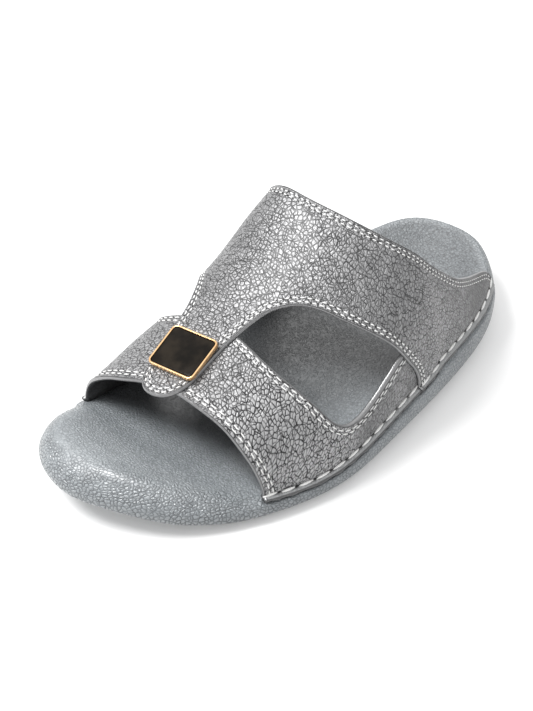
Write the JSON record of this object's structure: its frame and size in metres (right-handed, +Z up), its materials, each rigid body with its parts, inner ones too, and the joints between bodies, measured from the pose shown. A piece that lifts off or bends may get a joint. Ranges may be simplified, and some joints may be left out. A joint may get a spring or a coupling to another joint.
{
  "type": "arabic sandal",
  "caption": "Left slide sandal with a wide moulded sole, a dished footbed, and a leather upper of a front strap and an instep strap with a framed plain plate on its tab.",
  "frame": {"origin": "middle of the bounding box on the floor plane the sole stands on", "axes": "+Y towards the heel, -Y towards the toe, +X towards the outside of the left foot, +Z up"},
  "size_m": [0.1204, 0.277, 0.1048],
  "materials": {
    "sole": "grained, semi-matt",
    "insole": "fine grain, matt",
    "upper": "crackled grain, satin",
    "badge_frame": "polished",
    "badge_plate": "gloss"
  },
  "bodies": {
    "root": {"sole": "sole", "insole": "insole", "upper": "upper", "badge_frame": "badge_frame", "badge_plate": "badge_plate"}
  },
  "joints": []
}
